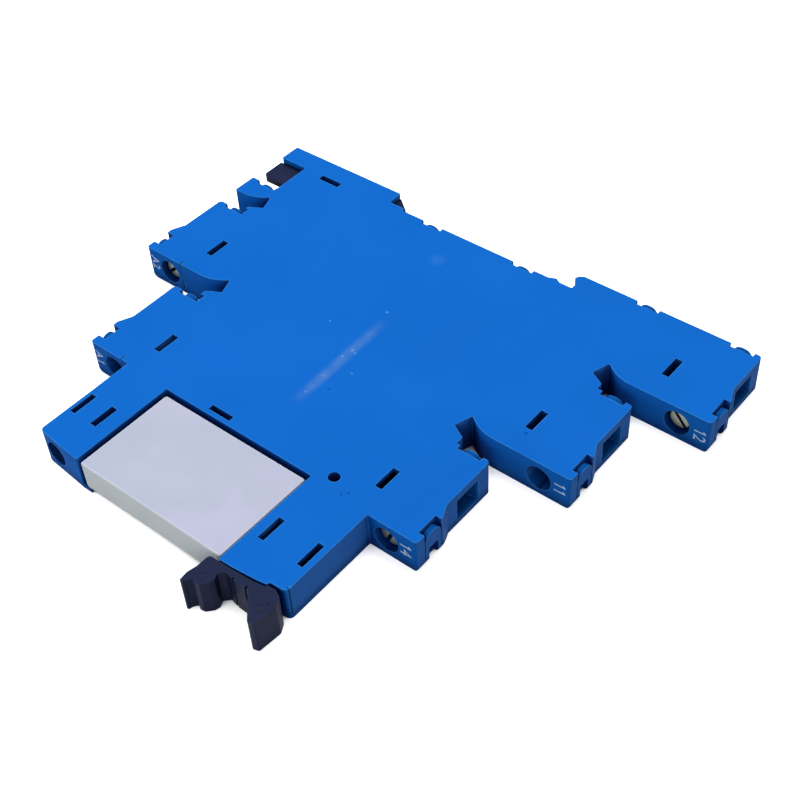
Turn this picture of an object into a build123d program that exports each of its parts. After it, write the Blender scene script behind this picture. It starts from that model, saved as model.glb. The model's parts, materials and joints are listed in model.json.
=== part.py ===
from build123d import *
import os

os.makedirs("parts", exist_ok=True)

# Slim rail-mount relay module that lies on its flat side, all sizes in millimetres
# X runs along the rail, Y from the relay end towards the rail, Z is the thickness
# Plan values count from the inner left corner of the relay recess

# Thickness layers
THICKNESS = 6.2
COVER_T = 0.8
TOP_T = 0.9
ROOF_Z = THICKNESS - TOP_T
AXIS_Z = (COVER_T + ROOF_Z) / 2
OUTLINE_R = 0.2

# Stepped terminals: screw axis, front edge and back edge of each
RIGHT_NAMES = ["14", "11", "12"]
RIGHT_SCREW_X = [42.7, 52.8, 62.65]
RIGHT_FRONT_Y = [-0.4, 21.3, 42.3]
RIGHT_BACK_Y = [17.5, 38.7, 59.0]
LEFT_NAMES = ["a1", "a2"]
LEFT_SCREW_X = [-13.3, -23.55]
LEFT_FRONT_Y = [0.7, 22.5]
LEFT_BACK_Y = [18.1, 39.1]
END_REACH = {1: 5.45, -1: 4.95}
BACK_REACH = {1: 4.45, -1: 3.85}
PROUD_LEN = 5.7
TAPER_END = 8.0
END_CORNER_R = 0.45
BACK_CORNER_R = 0.6
LOWER_ROUND_R = {1: 0.8, -1: 1.4}

# Relay recess and the two arms beside it
RECESS_LEFT = -0.7
RECESS_RIGHT = 28.65
RECESS_BACK = 0.3
LEFT_ARM_X = -9.65
RIGHT_ARM_X = 39.6
LEFT_ARM_FRONT = -17.3
ARM_CORNER_R = 0.8
ARM_LOWER_R = 1.2
COVER_STRIP_X = 0.9
COVER_CUT_DEPTH = 8.0

# Rail side
RAIL_WIDTH = 35.0
RAIL_X0 = 0.15
RAIL_X1 = RAIL_X0 + RAIL_WIDTH
SEAT_Y = 55.45
STEP_Y = 56.05
BACK_Y = 59.0
BLOCK_END_X = -3.0
BLOCK_LEFT_X = -27.35
BLOCK_FRONT_Y = 55.0
TAB_GAP_X = -21.7
HUMP_LEFT_X = -27.55
HUMP_BACK_Y = 47.5
HUMP_FRONT_Y = 43.0

# Snap tabs of the cover and their notches in the shell
TAB_T = {1: 0.85, -1: 1.3}
TAB_TOP_Z = 5.5
TAB_GAP = 0.2
TAB_START = 1.9
TAB_STOP = {1: 5.3, -1: 4.6}
FOOT_WINDOW_W = 2.0
FOOT_WINDOW_Z = 2.7
BACK_TAB_TOP_Z = 6.0
BACK_TAB_PROUD = 0.25
BACK_TAB_T = 0.55
BACK_TAB_W = 3.3
BACK_NOTCH_W = 4.1
BACK_TAB_SHIFT = {1: 1.2, -1: 0.15}

# Screw clamps
SCREW_BORE_R = 2.15
HEAD_R = 1.85
HEAD_LEN = 2.0
SHANK_R = 1.2
THREAD_CLEARANCE = 0.05
OPEN_DEPTH = 1.0
CLAMP_TRAVEL = 2.5
CAGE_HALF_W = 2.6
CAGE_FRONT = 6.2
CAGE_LEN = 8.8
NUT_LEN = 2.4
CAGE_WALL = 0.7
CAGE_GAP = 0.1
PLATE_T = 0.8
STRIP_T = 0.5
STRIP_Z0 = COVER_T + 0.7
STRIP_TOP_Z = 4.4
STRIP_GAP = 0.25
PROBE_SHIFT = 5.1
PROBE_W = 1.25
PROBE_LEN = 4.2
PROBE_START = 4.65
FUNNEL_BACK = 2.85
FUNNEL_LEN = 4.85
FUNNEL_H = 3.9
FUNNEL_Z = AXIS_Z - 0.2
THROAT_LEN = 3.4
THROAT_H = 2.7

# Relay
RELAY_X0 = 0.15
RELAY_X1 = 28.35
RELAY_FRONT_Y = -17.8
RELAY_BACK_Y = -0.6
RELAY_Z0 = 0.95
RELAY_Z1 = 6.05
CASE_WALL = 0.5
BASE_T = 1.7
PIN_X = [3.0, 8.0, 15.5, 20.5, 25.5]
PIN_T = 0.5
PIN_HALF_H = 0.6
PIN_TIP_Y = 3.6

# Retaining lever
PIVOT_X = 37.4
PIVOT_Y = -14.0
PIVOT_R = 0.7
PIVOT_GAP = 0.05
HUB_R = 1.35
LEVER_Z0 = 0.1
LEVER_Z1 = 6.1
HUB_Z0 = COVER_T + 0.25
HUB_Z1 = ROOF_Z - 0.25
FINGER_HALF_W = 0.6
FINGER_TIP_X = 28.0
FINGER_HALF_H = 1.0

# Rail slider, drawn in its pulled-back position
SLIDER_TRAVEL = 2.6
HOOK_TIP_X = -0.1
SLIDER_GAP = 0.15
SLIDER_TAB_Z0 = 3.8
SLIDER_TAB_Z1 = 5.0


def block(x0, x1, y0, y1, z0, z1):
    size = Box(x1 - x0, y1 - y0, z1 - z0)
    return Pos((x0 + x1) / 2, (y0 + y1) / 2, (z0 + z1) / 2) * size


def plan(points):
    return make_face(Polyline(*points, close=True))


def slab(face, z0, z1):
    return Pos(0, 0, z0) * extrude(face, z1 - z0)


def rod_y(x, y0, y1, z, radius):
    lying = Rot(-90, 0, 0) * Cylinder(radius, y1 - y0)
    return Pos(x, (y0 + y1) / 2, z) * lying


def rod_x(x0, x1, y, z, radius):
    lying = Rot(0, 90, 0) * Cylinder(radius, x1 - x0)
    return Pos((x0 + x1) / 2, y, z) * lying


def rod_z(x, y, z0, z1, radius):
    return Pos(x, y, (z0 + z1) / 2) * Cylinder(radius, z1 - z0)


def soften(face, radius, special):
    # Rounds every corner of a plan, and the listed ones more than the rest
    plain = []
    for vertex in face.vertices():
        gaps = [abs(vertex.X - x) + abs(vertex.Y - y) for x, y, r in special]
        if min(gaps) > 0.01:
            plain.append(vertex)
    face = fillet(plain, radius)
    for x, y, r in special:
        corner = face.vertices().sort_by_distance((x, y, 0))[0]
        face = fillet(corner, r)
    return face


def lower_round(x, side, y0, y1, radius):
    # What a rounded lower edge along Y takes away at an outer end
    inner = x - side * radius
    waste = block(min(x + side, inner), max(x + side, inner), y0, y1, -1, radius)
    return waste - rod_y(inner, y0 - 1, y1 + 1, radius, radius)


# Every terminal as name, screw axis, front edge, back edge and side
terminals = []
for name, x, front, back in zip(RIGHT_NAMES, RIGHT_SCREW_X, RIGHT_FRONT_Y, RIGHT_BACK_Y):
    terminals.append((name, x, front, back, 1))
for name, x, front, back in zip(LEFT_NAMES, LEFT_SCREW_X, LEFT_FRONT_Y, LEFT_BACK_Y):
    terminals.append((name, x, front, back, -1))


def scoop(step_y, tip_x, tip_y, side, reach):
    # The curved bay between two terminal steps, open towards the outside
    wall_x = tip_x - side * 11.65
    lip = (tip_x - side * 8.1, tip_y)
    deep = (tip_x - side * 13.05, tip_y + 1.95)
    low = (tip_x - side * 14.1, tip_y - 1.1)
    neck = (wall_x, tip_y - 2.4)
    bow = (tip_x - side * 10.75, tip_y + 0.53)
    edges = [
        Line((wall_x, step_y), neck),
        Line(neck, low),
        Line(low, deep),
        ThreePointArc(deep, bow, lip),
        Line(lip, (reach, tip_y)),
        Line((reach, tip_y), (reach, step_y)),
        Line((reach, step_y), (wall_x, step_y)),
    ]
    return make_face(edges)


def end_relief(x, front, back, side):
    # Behind the proud front part the end of a terminal steps back
    end = x + side * END_REACH[side]
    inner = x + side * BACK_REACH[side]
    out = end + side * 2
    points = [(out, front + PROUD_LEN), (end, front + PROUD_LEN), (inner, front + TAPER_END)]
    points += [(inner, back + 0.01), (out, back + 0.01)]
    return plan(points)


# Plan outline of the housing
right_ends = [x + END_REACH[1] for x in RIGHT_SCREW_X]
left_ends = [x - END_REACH[-1] for x in LEFT_SCREW_X]
RIGHT_ARM_FRONT = [(RECESS_RIGHT, -18.3), (31.0, -18.2), (33.0, -18.0), (35.0, -17.8)]
RIGHT_ARM_FRONT += [(36.7, -17.5), (36.9, -17.0), (RIGHT_ARM_X, -16.85)]
outline = [(LEFT_ARM_X, LEFT_ARM_FRONT + 0.4), (RECESS_LEFT, LEFT_ARM_FRONT - 0.4)]
outline += [(RECESS_LEFT, RECESS_BACK), (RECESS_RIGHT, RECESS_BACK)]
outline += RIGHT_ARM_FRONT
outline += [(RIGHT_ARM_X, RIGHT_FRONT_Y[0])]
for index, end in enumerate(right_ends):
    outline += [(end, RIGHT_FRONT_Y[index])]
    outline += [(end, (RIGHT_FRONT_Y + [BACK_Y])[index + 1])]
outline += [(RAIL_X1 + 0.1, BACK_Y), (34.45, 58.5), (34.2, 57.8)]
outline += [(RAIL_X1, 56.5), (RAIL_X1, SEAT_Y), (32.8, SEAT_Y)]
outline += [(31.9, SEAT_Y + 0.55), (30.6, SEAT_Y), (RAIL_X0, SEAT_Y), (RAIL_X0, STEP_Y)]
outline += [(BLOCK_END_X, STEP_Y), (BLOCK_END_X, BACK_Y), (BLOCK_LEFT_X, BACK_Y)]
outline += [(BLOCK_LEFT_X, BLOCK_FRONT_Y), (TAB_GAP_X, BLOCK_FRONT_Y)]
outline += [(TAB_GAP_X, HUMP_BACK_Y), (HUMP_LEFT_X, HUMP_BACK_Y)]
outline += [(HUMP_LEFT_X, HUMP_FRONT_Y), (left_ends[1], HUMP_FRONT_Y)]
outline += [(left_ends[1], LEFT_FRONT_Y[1]), (left_ends[0], LEFT_FRONT_Y[1])]
outline += [(left_ends[0], LEFT_FRONT_Y[0]), (LEFT_ARM_X, LEFT_FRONT_Y[0])]

body_plan = plan(outline)
for index in (1, 2):
    tip = (RIGHT_SCREW_X[index], RIGHT_FRONT_Y[index])
    before = RIGHT_BACK_Y[index - 1]
    body_plan -= scoop(before, tip[0], tip[1], 1, right_ends[index] + 2)
body_plan -= scoop(LEFT_BACK_Y[0], LEFT_SCREW_X[1] - 0.3, LEFT_FRONT_Y[1], -1, left_ends[1] - 2)
hump_bay = scoop(LEFT_BACK_Y[1], LEFT_SCREW_X[1] - 10.35, HUMP_FRONT_Y, -1, left_ends[1] - 4)
body_plan -= hump_bay
for name, x, front, back, side in terminals:
    body_plan -= end_relief(x, front, back, side)
corners = [(LEFT_ARM_X, LEFT_ARM_FRONT + 0.4, ARM_CORNER_R)]
corners += [RIGHT_ARM_FRONT[-1] + (ARM_CORNER_R,)]
for name, x, front, back, side in terminals:
    corners += [(x + side * END_REACH[side], front, END_CORNER_R)]
    corners += [(x + side * BACK_REACH[side], back, BACK_CORNER_R)]
body_plan = soften(body_plan, OUTLINE_R, corners)


# Snap tabs: the shell gets a notch, the cover gets a round-topped tab
notches = []
tabs = []
feet = []


def side_tab(end, front, side):
    start = front + TAB_START
    stop = front + TAB_STOP[side]
    inner = end - side * (TAB_T[side] + TAB_GAP)
    x0, x1 = min(inner, end + side), max(inner, end + side)
    notches.append(block(x0, x1, start - TAB_GAP, stop + TAB_GAP, 0, THICKNESS))
    inner = end - side * TAB_T[side]
    x0, x1 = min(end, inner), max(end, inner)
    tab = block(x0, x1, start, stop, 0, TAB_TOP_Z)
    top = tab.edges().filter_by(Axis.X).group_by(Axis.Z)[-1]
    tabs.append(fillet(top, 1.3))
    middle = (start + stop) / 2
    half = FOOT_WINDOW_W / 2
    feet.append(block(x0, x1, middle - half, middle + half, -1, FOOT_WINDOW_Z))


def back_tab(x, edge_y, proud):
    half = BACK_NOTCH_W / 2
    depth = BACK_TAB_T + TAB_GAP
    notches.append(block(x - half, x + half, edge_y - depth, edge_y + 1, 0, THICKNESS))
    half = BACK_TAB_W / 2
    tab = block(x - half, x + half, edge_y - BACK_TAB_T, edge_y + proud, 0, BACK_TAB_TOP_Z)
    top = tab.edges().filter_by(Axis.Y).group_by(Axis.Z)[-1]
    tabs.append(fillet(top, 1.5))


for name, x, front, back, side in terminals:
    side_tab(x + side * END_REACH[side], front, side)
    back_tab(x + side * BACK_TAB_SHIFT[side], back, BACK_TAB_PROUD)
for x in (7.0, 25.8):
    back_tab(x, SEAT_Y, 0)
back_tab(47.3, BACK_Y, BACK_TAB_PROUD)
back_tab(-23.9, HUMP_BACK_Y, 0)

# Shell: side walls and roof, hollow below the roof where the pieces sit
shell = slab(body_plan, COVER_T, THICKNESS)
for notch in notches:
    shell -= notch


def room(x0, x1, y0, y1, top=ROOF_Z):
    return block(x0, x1, y0, y1, COVER_T - 1, top)


def funnel(x, back, side):
    # Wire entry: a four-sided cone that narrows towards the clamp
    depth = BACK_REACH[side] - CAGE_HALF_W - CAGE_GAP
    middle = back - FUNNEL_BACK - FUNNEL_LEN / 2
    end_x = x + side * BACK_REACH[side]
    facing = Plane(origin=(end_x, middle, FUNNEL_Z), x_dir=(0, 1, 0), z_dir=(-side, 0, 0))
    mouth = facing * Rectangle(FUNNEL_LEN, FUNNEL_H)
    throat = facing.offset(depth + 0.02) * Rectangle(THROAT_LEN, THROAT_H)
    return loft([mouth, throat])


for name, x, front, back, side in terminals:
    shell -= rod_y(x, front - 1, front + CAGE_FRONT, AXIS_Z, SCREW_BORE_R)
    half = CAGE_HALF_W + CAGE_GAP
    shell -= room(x - half, x + half, front + CAGE_FRONT - CAGE_GAP, front + CAGE_FRONT + CAGE_LEN + CAGE_GAP)
    shell -= funnel(x, back, side)
    slot_x = x - side * PROBE_SHIFT
    slot_y = front + PROBE_START
    half = PROBE_W / 2
    shell -= block(slot_x - half, slot_x + half, slot_y, slot_y + PROBE_LEN, 1.6, 7)

# Channels for the contact strips between the clamps and the relay sockets
channel = STRIP_T / 2 + STRIP_GAP
strip_y = CAGE_FRONT + CAGE_LEN - CAGE_WALL - STRIP_T / 2 - 0.1
row_y = [front + strip_y for front in RIGHT_FRONT_Y]
BYPASS_SHIFT = 6.6
BYPASS_Y = 46.0
bypass_x = RIGHT_SCREW_X[2] - BYPASS_SHIFT
SOCKET_Y0 = 1.5
SOCKET_Y1 = 5.6
STRIP_ROOM_Z = STRIP_TOP_Z + 0.2
for x in PIN_X:
    shell -= room(x - 0.9, x + 0.9, SOCKET_Y0 - 0.3, SOCKET_Y1 + 0.2, STRIP_ROOM_Z)
    shell -= block(x - 0.5, x + 0.5, RECESS_BACK - 0.5, SOCKET_Y0, AXIS_Z - 0.9, AXIS_Z + 0.9)
for index, x in enumerate([PIN_X[4], PIN_X[3]]):
    inner = RIGHT_SCREW_X[index] - CAGE_HALF_W
    shell -= room(x - channel, x + channel, SOCKET_Y1, row_y[index] + channel, STRIP_ROOM_Z)
    shell -= room(x, inner, row_y[index] - channel, row_y[index] + channel, STRIP_ROOM_Z)
shell -= room(PIN_X[2] - channel, PIN_X[2] + channel, SOCKET_Y1, BYPASS_Y + channel, STRIP_ROOM_Z)
shell -= room(PIN_X[2], bypass_x + channel, BYPASS_Y - channel, BYPASS_Y + channel, STRIP_ROOM_Z)
shell -= room(bypass_x - channel, bypass_x + channel, BYPASS_Y, row_y[2] + channel, STRIP_ROOM_Z)
shell -= room(bypass_x, RIGHT_SCREW_X[2] - CAGE_HALF_W, row_y[2] - channel, row_y[2] + channel, STRIP_ROOM_Z)

# Room for the circuit board in the left arm and the left half
BOARD_X0 = -8.6
BOARD_X1 = 11.0
BOARD_Y0 = 7.0
BOARD_Y1 = 39.0
BOARD_ARM_X1 = -1.8
BOARD_ARM_Y0 = -8.6
BOARD_T = 1.0
BOARD_GAP = 0.2
BOARD_Z1 = COVER_T + BOARD_T
shell -= room(BOARD_X0 - BOARD_GAP, BOARD_X1 + BOARD_GAP, BOARD_Y0 - BOARD_GAP, BOARD_Y1 + BOARD_GAP)
shell -= room(BOARD_X0 - BOARD_GAP, BOARD_ARM_X1 + BOARD_GAP, -12.9, BOARD_Y0)
for x in PIN_X[:2]:
    shell -= room(x - channel, x + channel, SOCKET_Y1, BOARD_Y0, STRIP_ROOM_Z)
left_rows = [front + strip_y for front in LEFT_FRONT_Y]
for index in (0, 1):
    inner = LEFT_SCREW_X[index] + CAGE_HALF_W
    y = left_rows[index]
    shell -= room(inner, BOARD_X0 + 0.6, y - channel, y + channel, STRIP_ROOM_Z)

# Indicator window in the front of the left arm
LENS_X = -6.6
LENS_R = 1.95
LENS_HOLE_R = 2.05
LENS_FRONT_Y = -16.9
LENS_BACK_Y = -13.4
shell -= rod_y(LENS_X, -19, -12, AXIS_Z, LENS_HOLE_R)

# Slots and the round opening in the roof, as left, right, front and back edge
ROOF_SLOT_Z = 3.4
ARM_SLOTS = [(-9.05, -8.0, -11.6, -7.2), (-4.6, -3.4, -11.6, -7.2)]
OPEN_SLOTS = [(30.2, 31.3, -12.4, -8.0), (37.55, 38.6, -12.6, -8.1)]
OPEN_SLOTS += [(7.4, 11.7, 1.1, 2.1), (-17.7, -13.3, 54.0, 55.2)]
SLOT_WALL = 0.35
for x0, x1, y0, y1 in ARM_SLOTS:
    pocket = block(x0 - SLOT_WALL, x1 + SLOT_WALL, y0 - SLOT_WALL, y1 + SLOT_WALL, ROOF_SLOT_Z - 0.6, ROOF_Z)
    shell += pocket
for x0, x1, y0, y1 in ARM_SLOTS + OPEN_SLOTS:
    shell -= block(x0, x1, y0, y1, ROOF_SLOT_Z, 7)
shell -= rod_z(31.4, 2.07, 2.2, 7, 0.93)

# Witness slits at the left terminals
shell -= block(-11.4, -11.2, 0, 1.8, COVER_T, 7)
shell -= block(-20.7, -20.5, 22, 23.5, COVER_T, 7)

# Light pockets between the channels
shell -= room(27.0, 38.3, 3.6, 11.6, ROOF_Z)
shell -= room(22.0, 37.3, 15.5, 33.3, ROOF_Z)
shell -= room(22.0, 46.6, 37.2, 44.2, ROOF_Z)
shell -= room(17.4, 33.2, 47.7, 53.9, ROOF_Z)
shell -= room(36.6, 43.6, 47.7, 57.6, ROOF_Z)
shell -= room(-8.8, 13.9, 41.0, 53.9, ROOF_Z)
shell -= room(-18.4, -10.4, 40.0, 52.6, ROOF_Z)

# Lever room in the right arm, open towards the relay and at the front for the neck
ROOM_X0 = RECESS_RIGHT + 1.0
ROOM_X1 = RIGHT_ARM_X - 0.7
NECK_X0 = 34.2
NECK_X1 = 38.15
POST_Y = -16.3
shell -= room(ROOM_X0, ROOM_X1, POST_Y, -8.0)
shell -= room(ROOM_X0, NECK_X1, -17.2, POST_Y + 1)
shell -= room(RECESS_RIGHT - 1, ROOM_X0 + 1, -17.75, -13.0)
shell -= room(NECK_X0, NECK_X1, -19, -16.0)

# Slider channel in the rail block
CHANNEL_Y0 = STEP_Y + 0.05
CHANNEL_Y1 = 58.35
shell -= room(-26.6, BLOCK_END_X + 1, CHANNEL_Y0, CHANNEL_Y1, ROOF_Z - 0.05)
shell -= room(-7.8, BLOCK_END_X + 1, CHANNEL_Y0, BACK_Y + 1, ROOF_Z - 0.05)
neck_z = SLIDER_TAB_Z0 - SLIDER_GAP
travel_x = TAB_GAP_X + SLIDER_TRAVEL + 0.2
shell -= block(-26.6, travel_x, BLOCK_FRONT_Y - 1, CHANNEL_Y0 + 0.1, neck_z, ROOF_Z - 0.05)
shell -= block(TAB_GAP_X - 1, travel_x, 50.1, BLOCK_FRONT_Y + 0.5, neck_z, ROOF_Z - 0.05)
for name, x, front, back, side in terminals:
    shell -= lower_round(x + side * END_REACH[side], side, front - 1, front + TAPER_END, LOWER_ROUND_R[side])
shell -= lower_round(LEFT_ARM_X, -1, LEFT_ARM_FRONT - 1, LEFT_FRONT_Y[0], ARM_LOWER_R)

# Cover: the lower plate with the snap tabs and the lever peg
cover = slab(body_plan, 0, COVER_T)
strip_y0 = LEFT_ARM_FRONT - 0.4
recess_floor = block(RECESS_LEFT - 0.5, RECESS_RIGHT + 0.5, strip_y0, RECESS_BACK + 0.5, 0, COVER_T)
cutout_y = strip_y0 + COVER_CUT_DEPTH
recess_floor -= block(COVER_STRIP_X, RECESS_RIGHT - 1.6, strip_y0 - 1, cutout_y, -1, 2)
cover += recess_floor
for tab in tabs:
    cover += tab
for foot in feet:
    cover -= foot
for name, x, front, back, side in terminals:
    cover -= lower_round(x + side * END_REACH[side], side, front - 1, front + TAPER_END, LOWER_ROUND_R[side])
cover -= lower_round(LEFT_ARM_X, -1, LEFT_ARM_FRONT - 1, LEFT_FRONT_Y[0], ARM_LOWER_R)
cover += rod_z(PIVOT_X, PIVOT_Y, COVER_T / 2, ROOF_Z - 0.05, PIVOT_R)


# Retaining lever: hooked nose over the relay, stepped gap, rounded leg and hub
nose = [(27.15, -18.5), (31.0, -18.45), (35.0, -18.15), (36.7, -17.85), (36.9, -17.5), (38.2, -17.4)]
nose += [(39.3, -17.85), (40.1, -19.25), (39.75, -23.1), (38.75, -23.4), (35.4, -19.65)]
nose += [(32.6, -19.6), (31.0, -19.3), (30.15, -20.1), (30.6, -21.1), (30.4, -21.9), (29.5, -22.9)]
nose += [(28.7, -23.0), (28.1, -22.6), (27.6, -23.3), (27.4, -24.0), (26.9, -23.9), (26.75, -22.4), (27.1, -20.9)]
nose_rounds = [(27.15, -18.5, 0.6), (39.3, -17.85, 0.6), (40.1, -19.25, 0.8), (39.75, -23.1, 0.3)]
nose_rounds += [(38.75, -23.4, 0.4), (30.4, -21.9, 0.4), (29.5, -22.9, 0.4), (28.1, -22.6, 0.25)]
lever_plan = soften(plan(nose), 0.12, nose_rounds)
lever = slab(lever_plan, LEVER_Z0, LEVER_Z1)
for x in (32.45, 34.85):
    lever -= block(x - 0.17, x + 0.17, -20.5, -19.2, -1, 7)
neck = plan([(34.6, -18.7), (36.3, -18.7), (36.9, -16.8), (38.4, -14.9), (36.3, -13.4)])
lever += slab(neck, HUB_Z0, HUB_Z1)
lever += rod_z(PIVOT_X, PIVOT_Y, HUB_Z0, HUB_Z1, HUB_R)
finger_y0 = PIVOT_Y - FINGER_HALF_W
finger_y1 = PIVOT_Y + FINGER_HALF_W
finger_z0 = AXIS_Z - FINGER_HALF_H
finger_z1 = AXIS_Z + FINGER_HALF_H
lever += block(FINGER_TIP_X, PIVOT_X, finger_y0, finger_y1, finger_z0, finger_z1)
lever -= rod_z(PIVOT_X, PIVOT_Y, -1, 7, PIVOT_R + PIVOT_GAP)
for x, y in ((29.1, -21.5), (38.7, -20.8)):
    mark = rod_z(x, y, LEVER_Z1 - 0.08, 7, 0.68) - rod_z(x, y, 0, 8, 0.55)
    lever -= mark

# Rail slider: thumb tab, neck, long bar and hook end with its lead-in
bar_y0 = CHANNEL_Y0 + SLIDER_GAP
bar_y1 = CHANNEL_Y1 - SLIDER_GAP
bar_z1 = ROOF_Z - 0.05 - SLIDER_GAP
hook_y1 = BACK_Y - 0.1
lift_y = SEAT_Y + 1.15
bar = [(-26.3, bar_y0), (BLOCK_END_X - 1.6, bar_y0), (BLOCK_END_X - 1.2, lift_y)]
bar += [(HOOK_TIP_X, lift_y), (HOOK_TIP_X, lift_y + 0.2), (BLOCK_END_X + 0.2, hook_y1)]
bar += [(-7.6, hook_y1), (-7.6, bar_y1), (-26.3, bar_y1)]
slider = slab(plan(bar), COVER_T + SLIDER_GAP, bar_z1)
thumb = block(-27.8, TAB_GAP_X - 0.1, 50.3, BLOCK_FRONT_Y, SLIDER_TAB_Z0, SLIDER_TAB_Z1)
thumb = fillet(thumb.edges().filter_by(Axis.Z).group_by(Axis.Y)[0], 0.9)
slider += thumb
slider += block(-26.2, TAB_GAP_X - 0.3, BLOCK_FRONT_Y - 0.5, bar_y0 + 0.5, SLIDER_TAB_Z0, SLIDER_TAB_Z1)

# Indicator lens, light-emitting diode and the circuit board with its parts
lens = rod_y(LENS_X, LENS_FRONT_Y, LENS_BACK_Y, AXIS_Z, LENS_R)
lens = chamfer(lens.edges().group_by(Axis.Y)[0], 0.3)
LED_R = 1.0
led = rod_y(LENS_X, -11.8, -9.4, AXIS_Z, LED_R)
led += Pos(LENS_X, -11.8, AXIS_Z) * Sphere(LED_R)
for dx in (-0.6, 0.6):
    led += block(LENS_X + dx - 0.2, LENS_X + dx + 0.2, -9.6, -7.2, BOARD_Z1, AXIS_Z - 0.6)
board = block(BOARD_X0, BOARD_X1, BOARD_Y0, BOARD_Y1, COVER_T, BOARD_Z1)
board += block(BOARD_X0, BOARD_ARM_X1, BOARD_ARM_Y0, BOARD_Y0 + 1, COVER_T, BOARD_Z1)


def axial_part(x, y, half, radius):
    # A wired round body with both leads bent down to the board
    level = BOARD_Z1 + radius + 0.1
    reach = half + 1.6
    item = rod_x(x - half, x + half, y, level, radius)
    item = chamfer(item.edges().filter_by(GeomType.CIRCLE), radius * 0.25)
    item += rod_x(x - reach, x + reach, y, level, 0.28)
    for end in (x - reach, x + reach):
        item += rod_z(end, y, BOARD_Z1, level + 0.28, 0.28)
    return item


resistor = axial_part(0.5, 19.0, 3.2, 1.1)
diode = axial_part(0.5, 26.0, 2.2, 0.9)


# Screw clamp of one terminal, pushed in by shift from its open place
def clamp_parts(x, front, shift, turn):
    y0 = front + CAGE_FRONT
    y1 = y0 + CAGE_LEN
    cage = block(x - CAGE_HALF_W, x + CAGE_HALF_W, y0, y1, COVER_T, ROOF_Z - CAGE_GAP)
    window_y0 = y0 + NUT_LEN
    cage -= block(x - 4, x + 4, window_y0, y1 - CAGE_WALL, STRIP_Z0, 4.6)
    cage -= rod_y(x, y0 - 1, window_y0 + 1, AXIS_Z, SHANK_R + THREAD_CLEARANCE)
    plate_y = window_y0 + 0.1 + shift
    plate = block(x - 1.9, x + 1.9, plate_y, plate_y + PLATE_T, 1.7, 4.4)
    plate = fillet(plate.edges().filter_by(Axis.Y), 0.4)
    head_y = front + OPEN_DEPTH + shift
    head = rod_y(x, head_y, head_y + HEAD_LEN, AXIS_Z, HEAD_R)
    head = chamfer(head.edges().group_by(Axis.Y)[0], 0.25)
    slot = Box(0.6, 1.8, 6)
    head -= Pos(x, head_y, AXIS_Z) * Rot(0, turn, 0) * slot
    head += rod_y(x, head_y + HEAD_LEN - 0.1, plate_y - 0.05, AXIS_Z, SHANK_R)
    return cage, head, plate


def fork(x):
    # Sprung socket: two leaves beside the relay pin and a web behind it
    inner = PIN_T / 2 + 0.05
    outer = inner + 0.4
    leaves = block(x - outer, x - inner, SOCKET_Y0, SOCKET_Y1, STRIP_Z0, STRIP_TOP_Z)
    leaves += block(x + inner, x + outer, SOCKET_Y0, SOCKET_Y1, STRIP_Z0, STRIP_TOP_Z)
    leaves += block(x - outer, x + outer, SOCKET_Y1 - 0.4, SOCKET_Y1, STRIP_Z0, STRIP_TOP_Z)
    return leaves


def run_y(x, y0, y1):
    half = STRIP_T / 2
    return block(x - half, x + half, min(y0, y1) - half, max(y0, y1) + half, STRIP_Z0, STRIP_TOP_Z)


def run_x(x0, x1, y):
    half = STRIP_T / 2
    return block(min(x0, x1) - half, max(x0, x1) + half, y - half, y + half, STRIP_Z0, STRIP_TOP_Z)


parts = {}
shifts = {"14": 0, "11": CLAMP_TRAVEL, "12": 0, "a1": CLAMP_TRAVEL, "a2": 0}
turns = {"14": 25, "11": 70, "12": -40, "a1": 10, "a2": 50}
for name, x, front, back, side in terminals:
    cage, screw, plate = clamp_parts(x, front, shifts[name], turns[name])
    parts["clamp_cage_" + name] = cage
    parts["clamp_screw_" + name] = screw
    parts["clamp_plate_" + name] = plate

# Contact strips from the clamps to the relay sockets and to the board
IN_CAGE = 2.1
for index, pin_x in enumerate([PIN_X[4], PIN_X[3]]):
    strip = run_x(pin_x, RIGHT_SCREW_X[index] + IN_CAGE, row_y[index])
    strip += run_y(pin_x, SOCKET_Y1, row_y[index]) + fork(pin_x)
    parts["contact_strip_" + RIGHT_NAMES[index]] = strip
strip = run_x(bypass_x, RIGHT_SCREW_X[2] + IN_CAGE, row_y[2])
strip += run_y(bypass_x, BYPASS_Y, row_y[2])
strip += run_x(PIN_X[2], bypass_x, BYPASS_Y)
strip += run_y(PIN_X[2], SOCKET_Y1, BYPASS_Y) + fork(PIN_X[2])
parts["contact_strip_12"] = strip
over_board = block(BOARD_X0 - 0.1, 99, -99, 99, -1, BOARD_Z1)
for index, name in enumerate(LEFT_NAMES):
    strip = run_x(LEFT_SCREW_X[index] - IN_CAGE, BOARD_X0 + 1.5, left_rows[index])
    parts["contact_strip_" + name] = strip - over_board
for index, x in enumerate(PIN_X[:2]):
    under = block(x - 2, x + 2, BOARD_Y0 - 0.1, 99, -1, BOARD_Z1)
    socket = fork(x) + run_y(x, SOCKET_Y1, BOARD_Y0 + 1.8)
    parts["coil_socket_" + str(index + 1)] = socket - under

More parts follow.
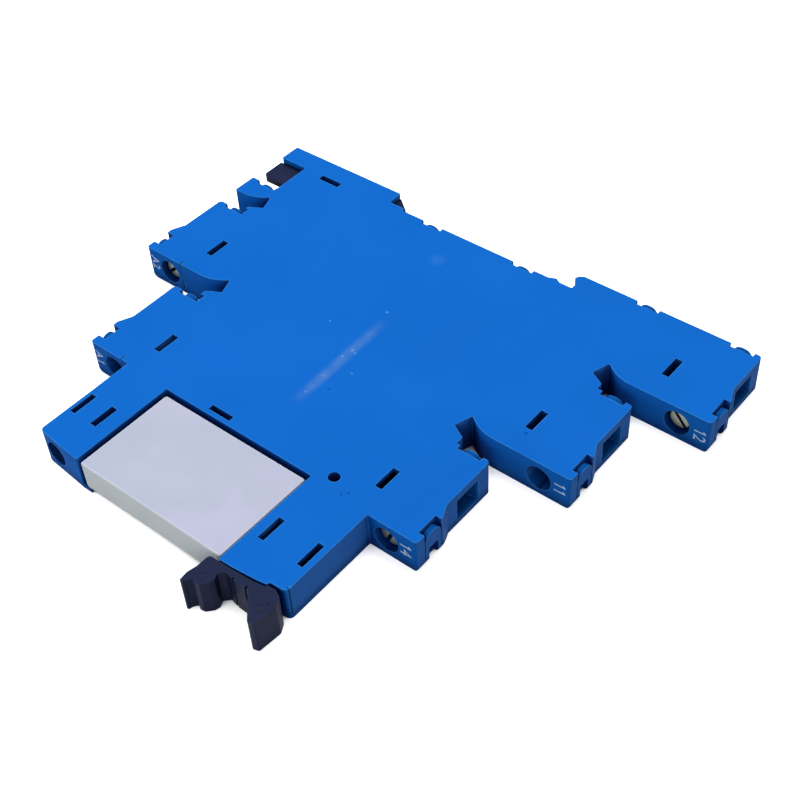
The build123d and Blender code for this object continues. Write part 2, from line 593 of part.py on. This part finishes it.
# Relay case with the notch for the lever finger, closed by its base
RELAY_MID_Z = (RELAY_Z0 + RELAY_Z1) / 2
case = block(RELAY_X0, RELAY_X1, RELAY_FRONT_Y, RELAY_BACK_Y, RELAY_Z0, RELAY_Z1)
case = fillet(case.edges().filter_by(Axis.Y).group_by(Axis.Z)[0], 0.8)
case = fillet(case.edges().filter_by(Axis.Z), 0.4)
case = chamfer(case.edges().group_by(Axis.Z)[-1], 0.15)
inner_x0 = RELAY_X0 + CASE_WALL
inner_x1 = RELAY_X1 - CASE_WALL
inner_z0 = RELAY_Z0 + CASE_WALL
inner_z1 = RELAY_Z1 - CASE_WALL
case -= block(inner_x0, inner_x1, RELAY_FRONT_Y + CASE_WALL, RELAY_BACK_Y + 1, inner_z0, inner_z1)
notch_y0 = finger_y0 - 0.2
notch_y1 = finger_y1 + 0.2
case += block(inner_x1 - 0.6, inner_x1 + 0.1, notch_y0 - 0.5, notch_y1 + 0.5, inner_z0, inner_z1)
case -= block(inner_x1, RELAY_X1 + 1, notch_y0, notch_y1, finger_z0 - 0.3, finger_z1 + 0.3)
base_y0 = RELAY_BACK_Y - BASE_T
base_x0 = inner_x0 + 0.05
base_x1 = inner_x1 - 0.05
base = block(base_x0, base_x1, base_y0, RELAY_BACK_Y - 0.05, inner_z0 + 0.05, inner_z1 - 0.05)
pins = []
for x in PIN_X:
    z0 = AXIS_Z - PIN_HALF_H
    z1 = AXIS_Z + PIN_HALF_H
    pin = block(x - PIN_T / 2, x + PIN_T / 2, base_y0 - 0.8, PIN_TIP_Y, z0, z1)
    base -= pin
    pin = chamfer(pin.edges().filter_by(Axis.Z).group_by(Axis.Y)[-1], 0.15)
    pins.append(pin)

# Coil group: bobbin, winding, core, yoke and the hinged armature
COIL_Y = -7.8
COIL_X0 = 2.3
COIL_X1 = 13.6
FLANGE_T = 0.6
CORE_R = 0.9
TUBE_R = 1.25
tube_gap = 0.05
bobbin = rod_x(COIL_X0, COIL_X1, COIL_Y, RELAY_MID_Z, TUBE_R)
for x in (COIL_X0, COIL_X1 - FLANGE_T):
    bobbin += block(x, x + FLANGE_T, COIL_Y - 3.3, COIL_Y + 3.3, RELAY_MID_Z - 1.95, RELAY_MID_Z + 1.95)
bobbin -= rod_x(COIL_X0 - 1, COIL_X1 + 1, COIL_Y, RELAY_MID_Z, CORE_R + tube_gap)
wind_x0 = COIL_X0 + FLANGE_T
wind_x1 = COIL_X1 - FLANGE_T
winding = block(wind_x0, wind_x1, COIL_Y - 3.0, COIL_Y + 3.0, RELAY_MID_Z - 1.85, RELAY_MID_Z + 1.85)
winding = fillet(winding.edges().filter_by(Axis.X), 1.0)
winding -= rod_x(0, 20, COIL_Y, RELAY_MID_Z, TUBE_R)
YOKE_X0 = COIL_X0 - 1.1
YOKE_END = 14.6
YOKE_Y0 = -12.6
YOKE_T = 1.0
yoke = block(YOKE_X0, YOKE_X0 + YOKE_T, YOKE_Y0, -4.0, RELAY_MID_Z - 1.9, RELAY_MID_Z + 1.9)
yoke += block(YOKE_X0, YOKE_END, YOKE_Y0, YOKE_Y0 + YOKE_T, RELAY_MID_Z - 1.9, RELAY_MID_Z + 1.9)
core = rod_x(YOKE_X0 + YOKE_T, COIL_X1 + 0.4, COIL_Y, RELAY_MID_Z, CORE_R)
core += rod_x(COIL_X1 + 0.1, COIL_X1 + 0.6, COIL_Y, RELAY_MID_Z, 1.7)
ARMATURE_X = YOKE_END + 0.15
ARMATURE_T = 0.8
ARMATURE_Y0 = -16.4
half_h = 1.8
armature = block(ARMATURE_X, ARMATURE_X + ARMATURE_T, ARMATURE_Y0, -4.6, RELAY_MID_Z - half_h, RELAY_MID_Z + half_h)

# Contact group: the card pushes the blade from the break to the make contact
BLADE_X = PIN_X[3]
BLADE_T = 0.2
BLADE_TOP_Y = base_y0 - 0.85
CONTACT_Y = -12.6
RIVET_R = 0.8
RIVET_T = 0.35
card_x0 = ARMATURE_X + ARMATURE_T + 0.1
card_x1 = BLADE_X - BLADE_T / 2 - 0.1
card = block(card_x0, card_x1, -16.6, -15.6, RELAY_MID_Z - 0.6, RELAY_MID_Z + 0.6)
blade = block(BLADE_X - BLADE_T / 2, BLADE_X + BLADE_T / 2, ARMATURE_Y0 - 0.1, BLADE_TOP_Y, 2.1, 4.1)
rivet_x = BLADE_T / 2 + RIVET_T
blade += rod_x(BLADE_X - rivet_x, BLADE_X + rivet_x, CONTACT_Y, 3.1, RIVET_R)


def fixed_contact(pin, pin_x, spring_x, face_x):
    # Pin, cross arm below the base and a spring with its rivet
    arm_y = base_y0 - 0.8
    x0 = min(pin_x, spring_x) - PIN_T / 2
    x1 = max(pin_x, spring_x) + PIN_T / 2
    item = pin + block(x0, x1, arm_y, arm_y + 0.5, 2.1, 4.1)
    item += block(spring_x - 0.2, spring_x + 0.2, CONTACT_Y - 0.9, arm_y + 0.5, 2.1, 4.1)
    item += rod_x(min(spring_x, face_x), max(spring_x, face_x), CONTACT_Y, 3.1, RIVET_R)
    return item


break_contact = fixed_contact(pins[2], PIN_X[2], 19.3, BLADE_X - rivet_x - 0.05)
make_contact = fixed_contact(pins[4], PIN_X[4], 21.8, BLADE_X + rivet_x + 0.3)

parts["housing_shell"] = shell
parts["housing_cover"] = cover
parts["retaining_lever"] = lever
parts["rail_slider"] = slider
parts["indicator_lens"] = lens
parts["indicator_led"] = led
parts["circuit_board"] = board
parts["series_resistor"] = resistor
parts["protection_diode"] = diode
parts["relay_case"] = case
parts["relay_base"] = base
parts["coil_pin_1"] = pins[0]
parts["coil_pin_2"] = pins[1]
parts["common_contact"] = pins[3]
parts["break_contact"] = break_contact
parts["make_contact"] = make_contact
parts["contact_blade"] = blade
parts["actuator_card"] = card
parts["coil_bobbin"] = bobbin
parts["coil_winding"] = winding
parts["coil_core"] = core
parts["relay_yoke"] = yoke
parts["relay_armature"] = armature

# The row's origin is the middle of the overall plan at the lower face
whole = [shell.bounding_box(), cover.bounding_box(), lever.bounding_box(), slider.bounding_box()]
centre_x = (min(b.min.X for b in whole) + max(b.max.X for b in whole)) / 2
centre_y = (min(b.min.Y for b in whole) + max(b.max.Y for b in whole)) / 2
print("centre", round(centre_x, 4), round(centre_y, 4))
for name, shape in parts.items():
    moved = Pos(-centre_x, -centre_y, 0) * shape
    export_step(moved, "parts/" + name + ".step")
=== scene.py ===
import json

import bpy
from mathutils import Matrix, Vector


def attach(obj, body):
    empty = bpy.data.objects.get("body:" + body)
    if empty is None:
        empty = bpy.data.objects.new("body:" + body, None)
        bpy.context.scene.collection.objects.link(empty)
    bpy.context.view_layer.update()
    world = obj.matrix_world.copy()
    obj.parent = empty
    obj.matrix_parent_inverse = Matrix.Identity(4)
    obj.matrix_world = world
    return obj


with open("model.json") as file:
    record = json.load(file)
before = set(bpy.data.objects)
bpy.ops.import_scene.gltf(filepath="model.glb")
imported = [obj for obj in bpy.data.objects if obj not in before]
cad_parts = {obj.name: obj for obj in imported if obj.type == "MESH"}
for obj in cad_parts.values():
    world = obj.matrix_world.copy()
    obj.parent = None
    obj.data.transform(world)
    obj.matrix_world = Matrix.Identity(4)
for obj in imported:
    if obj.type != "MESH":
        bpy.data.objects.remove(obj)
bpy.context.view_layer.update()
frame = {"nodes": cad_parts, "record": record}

MM = 0.001
# Millimetres from the inner left corner of the relay recess to the row's origin
ORIGIN = Vector((19.8, 17.6347, 0.0))


def place(x, y, z=0.0):
    """A point counted in millimetres from the recess corner, in the row frame in metres."""
    return (Vector((x, y, z)) - ORIGIN) * MM


# Nodes


def new_material(name):
    material = bpy.data.materials.new(name)
    material.use_nodes = True
    tree = material.node_tree
    return material, tree, tree.nodes["Principled BSDF"]


def add(tree, kind):
    return tree.nodes.new("ShaderNode" + kind)


def link(tree, source, target):
    tree.links.new(source, target)


def feed(tree, value, socket):
    """Links a socket to another, or sets it: a tuple is a colour."""
    if isinstance(value, bpy.types.NodeSocket):
        link(tree, value, socket)
    elif isinstance(value, tuple):
        socket.default_value = value + (1.0,)
    else:
        socket.default_value = value


def coordinates(tree):
    return add(tree, "TexCoord").outputs["Object"]


def true_normal(tree):
    return add(tree, "NewGeometry").outputs["True Normal"]


def split(tree, vector):
    """The X, Y and Z of a vector, by name."""
    node = add(tree, "SeparateXYZ")
    link(tree, vector, node.inputs["Vector"])
    return node.outputs


def noise(tree, coords, scale, detail=3.0):
    node = add(tree, "TexNoise")
    node.inputs["Scale"].default_value = scale
    node.inputs["Detail"].default_value = detail
    link(tree, coords, node.inputs["Vector"])
    return node.outputs["Fac"]


def ramp(tree, source, low, high, from_value=0.0, to_value=1.0):
    """Straight from one value to the other between low and high, and level beyond them."""
    node = add(tree, "MapRange")
    node.clamp = True
    node.inputs["From Min"].default_value = low
    node.inputs["From Max"].default_value = high
    node.inputs["To Min"].default_value = from_value
    node.inputs["To Max"].default_value = to_value
    link(tree, source, node.inputs["Value"])
    return node.outputs["Result"]


def mix(tree, factor, first, second):
    """Blends two colours, each a plain colour or a socket."""
    node = add(tree, "Mix")
    node.data_type = "RGBA"
    colours_in = [socket for socket in node.inputs if socket.type == "RGBA"]
    feed(tree, factor, node.inputs["Factor"])
    feed(tree, first, colours_in[0])
    feed(tree, second, colours_in[1])
    return [socket for socket in node.outputs if socket.type == "RGBA"][0]


def calculate(tree, operation, first, second=0.0):
    node = add(tree, "Math")
    node.operation = operation
    feed(tree, first, node.inputs[0])
    feed(tree, second, node.inputs[1])
    return node.outputs[0]


def times(tree, first, second):
    return calculate(tree, "MULTIPLY", first, second)


def distance(tree, value, middle):
    """How far a value is from a middle, either way."""
    return calculate(tree, "ABSOLUTE", calculate(tree, "SUBTRACT", value, middle))


def vector_node(tree, operation, first, second, output="Value"):
    node = add(tree, "VectorMath")
    node.operation = operation
    feed(tree, first, node.inputs[0])
    feed(tree, second, node.inputs[1])
    return node.outputs[output]


def openness(tree, reach, samples):
    """How open the surroundings of a point are within a reach, from 0 when closed in to 1."""
    node = add(tree, "AmbientOcclusion")
    node.samples = samples
    node.inputs["Distance"].default_value = reach
    return node.outputs["AO"]


# Materials

GRAIN_SCALE = 9000.0
GRAIN_STRENGTH = 0.25
GRAIN_DEPTH = 0.00004
HOLLOW_REACH = 0.0035


def surface(tree, shader, edge):
    """Fine grain over edges that look rounded by a radius; gives back how near an edge is."""
    bevel = add(tree, "Bevel")
    bevel.samples = 6
    bevel.inputs["Radius"].default_value = edge
    rounded = bevel.outputs["Normal"]
    bump = add(tree, "Bump")
    bump.inputs["Strength"].default_value = GRAIN_STRENGTH
    bump.inputs["Distance"].default_value = GRAIN_DEPTH
    link(tree, noise(tree, coordinates(tree), GRAIN_SCALE, 2.0), bump.inputs["Height"])
    link(tree, rounded, bump.inputs["Normal"])
    link(tree, bump.outputs["Normal"], shader.inputs["Normal"])
    return ramp(tree, vector_node(tree, "DOT_PRODUCT", rounded, true_normal(tree)), 0.995, 0.85)


def plastic(
    name,
    colour,
    shade,
    roughness,
    specks=0.5,
    metallic=0.0,
    edge=0.00012,
    shine=0.12,
    wear_and_highlight=None,
    deep=0.55,
    dark=(0.0, 0.002, 0.01),
    marks=None,
):
    """Moulded plastic or metal: cloudy colour, fine grain, uneven gloss, paler edges of wear and painted
    highlight, painted shade in hollows, specks.
    """
    material, tree, shader = new_material(name)
    coords = coordinates(tree)
    base = mix(tree, ramp(tree, noise(tree, coords, 60.0, 4.0), 0.3, 0.7), colour, shade)
    dirt = ramp(tree, noise(tree, coords, 900.0, 2.0), 0.70, 0.78, 0.0, specks)
    base = mix(tree, dirt, base, tuple(c * 0.35 for c in colour))
    if marks:
        base = marks(tree, coords, base)
    near_edge = surface(tree, shader, edge)
    # Paler edges: partly wear, partly a painted highlight along the rounded edges.
    if wear_and_highlight:
        patchy = ramp(tree, noise(tree, coords, 400.0), 0.25, 0.6, 0.5, 1.0)
        base = mix(tree, times(tree, near_edge, patchy), base, wear_and_highlight)
    # Painted shade: the colour turns darker where the surroundings close in, in slots, bores and gaps between
    # parts.
    hollow = ramp(tree, openness(tree, HOLLOW_REACH, 8), 0.8, 0.38)
    base = mix(tree, times(tree, hollow, deep), base, dark)
    link(tree, base, shader.inputs["Base Color"])
    gloss = ramp(tree, noise(tree, coords, 220.0), 0.3, 0.7, *roughness)
    link(tree, gloss, shader.inputs["Roughness"])
    shader.inputs["Metallic"].default_value = metallic
    shader.inputs["Specular IOR Level"].default_value = shine
    return material


# Marks on the housing, all in millimetres
TOP_Z = 6.2
SEAM_Z = 0.8
SEAM_NOTCH_Z = 0.65
SEAM_NOTCHES = [(46.3, -0.4), (56.2, 21.3), (66.0, 42.3), (59.6, 42.3)]
LINE_DARK = (0.0, 0.01, 0.07)
# The post's joint line and the painted highlight on its edge: y, half width and colour, on the right arm's end
# face
POST_FACE_X = 39.2
POST_FRONT_Y = -15.0
POST_LINES = [(-16.3, 0.13, LINE_DARK), (-15.95, 0.18, (0.02, 0.19, 0.62))]
# Mouth and middle of each wire entry in plan, and the way that it faces
WIRE_ENTRIES = [(47.15, 12.225, 1), (57.25, 33.425, 1), (67.1, 53.725, 1)]
WIRE_ENTRIES += [(-17.15, 12.825, -1), (-27.4, 33.825, -1)]
ENTRY_Z = 2.85
ENTRY_HALF_W = 2.45
ENTRY_HALF_H = 1.98
ENTRY_DEPTH = 3.0
STREAK = (place(16.8, 9.6), place(16.05, 32.0))
STREAK_HALF_W = 1.25
# Places in plan and radii of small marks on the upper side
PALE_SPOTS = [(15.05, 33.5, 0.4), (9.1, 26.65, 0.35), (16.4, 23.5, 0.45), (17.15, 23.2, 0.35)]
PALE_SPOTS += [(19.7, 19.5, 0.35), (16.45, 16.7, 0.3), (16.7, 12.4, 0.3), (16.0, 21.6, 0.4)]
DARK_SPOTS = [(19.1, 14.9, 0.35), (34.4, 0.2, 0.4), (35.0, 1.0, 0.35), (48.0, 25.0, 0.5), (38.0, 4.6, 0.4)]
SMUDGE = (13.4, 48.4, 2.2)


def streak_mask(tree, coords):
    """A soft patchy streak between two plan points."""
    start, end = STREAK
    along = (end - start).normalized()
    across = Vector((-along.y, along.x, 0.0))
    half = (end - start).length / 2
    shifted = vector_node(tree, "SUBTRACT", coords, start, "Vector")
    lengthwise = distance(tree, vector_node(tree, "DOT_PRODUCT", shifted, along), half)
    sideways = calculate(tree, "ABSOLUTE", vector_node(tree, "DOT_PRODUCT", shifted, across))
    inside = ramp(tree, lengthwise, half, half / 2)
    soft = times(tree, inside, ramp(tree, sideways, STREAK_HALF_W * MM, 0.0))
    return times(tree, ramp(tree, soft, 0.0, 0.7), ramp(tree, noise(tree, coords, 500.0), 0.2, 0.8, 0.06, 0.2))


def post_lines(tree, at, base):
    """The joint line beside the right arm's corner post, with a painted highlight along the post's edge behind
    it.
    """
    end_face = ramp(tree, at["X"], place(POST_FACE_X, 0).x, place(POST_FACE_X + 0.2, 0).x)
    arm = ramp(tree, at["Y"], place(0, POST_FRONT_Y).y, place(0, POST_FRONT_Y - 0.2).y)
    above = ramp(tree, at["Z"], SEAM_Z * MM, (SEAM_Z + 0.2) * MM)
    where = times(tree, times(tree, end_face, arm), above)
    for y, half, colour in POST_LINES:
        line = ramp(tree, distance(tree, at["Y"], place(0, y).y), half * MM * 1.3, half * MM * 0.7)
        base = mix(tree, times(tree, times(tree, line, where), 0.75), base, colour)
    return base


def entry_shade(tree, at, base):
    """The wire entries darken inwards from their mouths."""
    for x, y, side in WIRE_ENTRIES:
        depth = times(tree, calculate(tree, "SUBTRACT", at["X"], place(x, 0).x), -side)
        where = ramp(tree, depth, 0.05 * MM, 0.6 * MM, 0.0, 0.6)
        spans = [(at["Y"], place(0, y).y, ENTRY_HALF_W), (at["Z"], ENTRY_Z * MM, ENTRY_HALF_H)]
        for value, middle, half in spans:
            within = ramp(tree, distance(tree, value, middle), (half + 0.01) * MM, half * MM)
            where = times(tree, where, within)
        where = times(tree, where, ramp(tree, depth, (ENTRY_DEPTH + 0.2) * MM, ENTRY_DEPTH * MM))
        base = mix(tree, where, base, (0.0, 0.012, 0.06))
    return base


def spot(tree, coords, base, point, size, strength, colour):
    """A small mark on a surface with a ragged edge, its place and size in millimetres."""
    away = vector_node(tree, "DISTANCE", coords, place(*point))
    ragged = times(tree, noise(tree, coords, 3000.0, 2.0), size * MM)
    reach = calculate(tree, "ADD", away, ragged)
    mark = ramp(tree, reach, size * MM * 1.3, size * MM * 0.5, 0.0, strength)
    return mix(tree, mark, base, colour)


def housing_marks(tree, coords, base):
    """Right sides with a painted sheen, painted shade on low tops, the cover's seam, painted shade in the
    entries, the streak and small marks.
    """
    at = split(tree, coords)
    facing = split(tree, true_normal(tree))
    # Painted sheen: faces that turn to the right are painted paler, for the light that falls on them.
    base = mix(tree, ramp(tree, facing["X"], 0.6, 0.9), base, (0.03, 0.16, 0.57))
    # Painted shade: upward faces below the top, on slot and recess floors, are painted darker.
    low = ramp(tree, at["Z"], (TOP_Z - 0.05) * MM, (TOP_Z - 0.15) * MM, 0.0, 0.7)
    base = mix(tree, times(tree, ramp(tree, facing["Z"], 0.3, 0.6), low), base, (0.001, 0.06, 0.25))
    seam = ramp(tree, distance(tree, at["Z"], SEAM_Z * MM), 0.17 * MM, 0.09 * MM, 0.0, 0.85)
    base = mix(tree, seam, base, LINE_DARK)
    base = post_lines(tree, at, base)
    base = entry_shade(tree, at, base)
    upper = ramp(tree, at["Z"], (TOP_Z - 0.1) * MM, (TOP_Z - 0.05) * MM)
    base = mix(tree, times(tree, streak_mask(tree, coords), upper), base, (0.28, 0.4, 0.47))
    for x, y, size in PALE_SPOTS:
        base = spot(tree, coords, base, (x, y, TOP_Z), size, 0.45, (0.2, 0.45, 0.85))
    x, y, size = SMUDGE
    base = spot(tree, coords, base, (x, y, TOP_Z), size, 0.13, (0.12, 0.32, 0.6))
    for x, y, size in DARK_SPOTS:
        base = spot(tree, coords, base, (x, y, TOP_Z), size, 0.7, (0.0, 0.03, 0.16))
    for x, y in SEAM_NOTCHES:
        base = spot(tree, coords, base, (x, y, SEAM_NOTCH_Z), 0.35, 0.9, LINE_DARK)
    return base


def relay_marks(tree, coords, base):
    """The relay's sides are painted paler and yellower than its matt upper side, for the light that falls on
    them; the upper side has lilac clouds.
    """
    cloud = ramp(tree, noise(tree, coords, 90.0, 2.0), 0.45, 0.7, 0.0, 0.5)
    base = mix(tree, cloud, base, (0.48, 0.46, 0.62))
    # Painted light: faces that do not look upwards take a paler side colour.
    upper = ramp(tree, split(tree, true_normal(tree))["Z"], 0.3, 0.8)
    return mix(tree, upper, (0.6, 0.66, 0.7), base)


# Name, two colours that it clouds between, least and greatest roughness, and what differs from plain. The pale
# edge colours are wear with a painted highlight, and deep and dark set the painted shade in hollows
MATERIALS = [
    (
        "blue_plastic",
        (0.0055, 0.124, 0.515),
        (0.0045, 0.114, 0.48),
        (0.4, 0.52),
        {
            "specks": 0.15,
            "shine": 0.008,
            "edge": 0.0002,
            "wear_and_highlight": (0.07, 0.34, 0.8),
            "deep": 0.9,
            "dark": (0.0, 0.012, 0.12),
            "marks": housing_marks,
        },
    ),
    (
        "dark_plastic",
        (0.009, 0.014, 0.045),
        (0.013, 0.019, 0.055),
        (0.35, 0.5),
        {"shine": 0.04, "wear_and_highlight": (0.05, 0.06, 0.1)},
    ),
    ("lens", (0.002, 0.012, 0.06), (0.004, 0.02, 0.09), (0.2, 0.3), {"specks": 0.1, "shine": 0.0}),
    ("led_epoxy", (0.75, 0.78, 0.7), (0.7, 0.73, 0.66), (0.1, 0.2), {"specks": 0.0}),
    ("board", (0.02, 0.14, 0.05), (0.03, 0.17, 0.06), (0.3, 0.4), {}),
    ("component_body", (0.35, 0.25, 0.15), (0.3, 0.2, 0.12), (0.3, 0.45), {}),
    ("plated_steel", (0.6, 0.6, 0.58), (0.5, 0.5, 0.48), (0.3, 0.45), {"metallic": 1.0}),
    (
        "zinc_screw",
        (0.3, 0.33, 0.27),
        (0.2, 0.24, 0.2),
        (0.35, 0.5),
        {"metallic": 0.9, "wear_and_highlight": (0.6, 0.62, 0.55)},
    ),
    ("contact_metal", (0.75, 0.55, 0.3), (0.65, 0.45, 0.25), (0.25, 0.4), {"metallic": 1.0}),
    (
        "relay_case_plastic",
        (0.405, 0.44, 0.55),
        (0.375, 0.41, 0.525),
        (0.42, 0.55),
        {"specks": 0.1, "edge": 0.0003, "deep": 0.35, "wear_and_highlight": (0.8, 0.83, 0.84), "marks": relay_marks},
    ),
    ("bobbin_plastic", (0.7, 0.68, 0.6), (0.65, 0.62, 0.55), (0.4, 0.5), {}),
    ("copper_wire", (0.6, 0.25, 0.12), (0.5, 0.2, 0.1), (0.3, 0.4), {"metallic": 0.8}),
    ("soft_iron", (0.45, 0.45, 0.45), (0.4, 0.4, 0.4), (0.35, 0.5), {"metallic": 1.0}),
]
materials = {}
for name, colour, shade, roughness, others in MATERIALS:
    materials[name] = plastic(name, colour, shade, roughness, **others)
for part in frame["record"]["subparts"]:
    mesh = frame["nodes"][part["node"]].data
    mesh.materials.clear()
    mesh.materials.append(materials[part["material_slot"]])

# Terminal numbers on the front faces, read downwards with their tops to the right
PRINT_T = 0.02
ONE_STROKE = [(0.24, 0.0), (0.38, 0.0), (0.38, 1.0), (0.28, 1.0), (0.06, 0.8), (0.12, 0.7), (0.24, 0.8)]
# Foot, front face, middles of both figures, height and width factor
NUMBERS = {
    "12": (65.6, 42.3, 3.6, 2.2, 2.0, 0.9),
    "11": (55.5, 21.3, 4.0, 2.75, 1.95, 0.9),
    "14": (45.2, -0.4, 4.25, 2.8, 2.0, 0.9),
    "A1": (-17.6, 0.7, 4.05, 2.6, 1.6, 0.95),
    "A2": (-27.8, 22.5, 4.05, 2.65, 1.7, 0.95),
}


def print_material():
    """Pale print that is rubbed in places."""
    material, tree, shader = new_material("terminal_print")
    wear_and_highlight = ramp(tree, noise(tree, coordinates(tree), 2500.0), 0.35, 0.65)
    link(tree, mix(tree, wear_and_highlight, (0.3, 0.48, 0.75), (0.5, 0.65, 0.88)), shader.inputs["Base Color"])
    shader.inputs["Roughness"].default_value = 0.6
    return material


def glyph(letter):
    """A flat figure one unit high; the one is drawn with its flag, the rest come from the plain face."""
    if letter == "1":
        mesh = bpy.data.meshes.new("one")
        mesh.from_pydata([(x, y, 0.0) for x, y in ONE_STROKE], [], [(0, 1, 2, 3, 6), (3, 4, 5, 6)])
        return mesh
    data = bpy.data.curves.new(letter, "FONT")
    data.body = letter
    data.resolution_u = 4
    data.offset = 0.004
    text = bpy.data.objects.new("glyph_text", data)
    bpy.context.scene.collection.objects.link(text)
    bpy.context.view_layer.update()
    mesh = bpy.data.meshes.new_from_object(text)
    bpy.data.objects.remove(text)
    return mesh


def print_digit(name, letter, x, y, z, height, squeeze):
    """One printed figure: x is its foot, y the front face it is on and z its middle."""
    mesh = glyph(letter)
    xs = [v.co.x for v in mesh.vertices]
    ys = [v.co.y for v in mesh.vertices]
    foot = min(ys)
    scale = height / (max(ys) - foot)
    middle = (max(xs) + min(xs)) / 2
    for v in mesh.vertices:
        across = (v.co.x - middle) * scale * squeeze
        up = (v.co.y - foot) * scale
        v.co = place(x + up, y - PRINT_T, z - across)
    mesh.materials.append(terminal_print)
    piece = bpy.data.objects.new(name, mesh)
    bpy.context.scene.collection.objects.link(piece)
    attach(piece, "housing")


terminal_print = print_material()
for name, (x, y, upper_z, lower_z, height, squeeze) in NUMBERS.items():
    print_digit("number_" + name + "_upper", name[0], x, y, upper_z, height, squeeze)
    print_digit("number_" + name + "_lower", name[1], x, y, lower_z, height, squeeze)

# Floor: a plain pale table with painted shade in narrow gaps
FLOOR_SIZE = 60.0
GAP_REACH = 0.012
bpy.ops.mesh.primitive_plane_add(size=FLOOR_SIZE, location=(0, 0, 0))
floor = bpy.context.object
floor.name = "floor"
floor_material, floor_tree, floor_shader = new_material("floor_white")
# Painted shade: in narrow gaps between walls the floor is painted dark blue and does not glow.
in_open = ramp(floor_tree, openness(floor_tree, GAP_REACH, 24), 0.14, 0.36)
floor_colour = mix(floor_tree, in_open, (0.01, 0.06, 0.25), (0.95, 0.95, 0.95))
link(floor_tree, floor_colour, floor_shader.inputs["Base Color"])
floor_glow = mix(floor_tree, in_open, (0.0, 0.0, 0.0), (1.0, 1.0, 1.0))
link(floor_tree, floor_glow, floor_shader.inputs["Emission Color"])
floor_shader.inputs["Emission Strength"].default_value = 0.6
floor_shader.inputs["Roughness"].default_value = 0.9
floor.data.materials.append(floor_material)
floor.visible_diffuse = False

# Light: the sky is bright down to just under the horizon, with three soft lamps
world = bpy.data.worlds.new("studio")
bpy.context.scene.world = world
world.use_nodes = True
sky_tree = world.node_tree
backdrop = sky_tree.nodes["Background"]
backdrop.inputs["Strength"].default_value = 0.55
upwards = split(sky_tree, add(sky_tree, "TexCoord").outputs["Generated"])["Z"]
link(sky_tree, ramp(sky_tree, upwards, -0.03, -0.02), backdrop.inputs["Color"])
bpy.context.scene.view_settings.view_transform = "Standard"


def area_light(name, position, size, power):
    """A round lamp that points at the origin."""
    data = bpy.data.lights.new(name, "AREA")
    data.shape = "DISK"
    data.size = size
    data.energy = power
    light = bpy.data.objects.new(name, data)
    light.location = position
    light.rotation_euler = (-Vector(position)).to_track_quat("-Z", "Y").to_euler()
    bpy.context.scene.collection.objects.link(light)


area_light("key", (-0.1, 0.2, 0.6), 0.3, 2.6)
area_light("left", (-0.3, -0.22, 0.15), 0.2, 0.5)
area_light("right", (0.12, -0.17, 0.08), 0.1, 0.08)

# Camera: fitted to the photograph
FOCAL_PX = 1373.169
IMAGE_PX = 800
SENSOR_MM = 36.0
# Rotation vector from the row frame to right, down and forward of the camera
TURN = Vector((2.25445447, 0.77860463, -0.3852486))
camera_data = bpy.data.cameras.new("camera")
camera_data.sensor_width = SENSOR_MM
camera_data.lens = SENSOR_MM * FOCAL_PX / IMAGE_PX
camera_data.clip_start = 0.01
camera = bpy.data.objects.new("camera", camera_data)
bpy.context.scene.collection.objects.link(camera)
view = Matrix.Rotation(TURN.length, 3, TURN.normalized())
axes = Matrix((view[0], -view[1], -view[2])).transposed().to_4x4()
camera.matrix_world = Matrix.Translation(place(125.304, -87.959, 148.979)) @ axes
bpy.context.scene.camera = camera
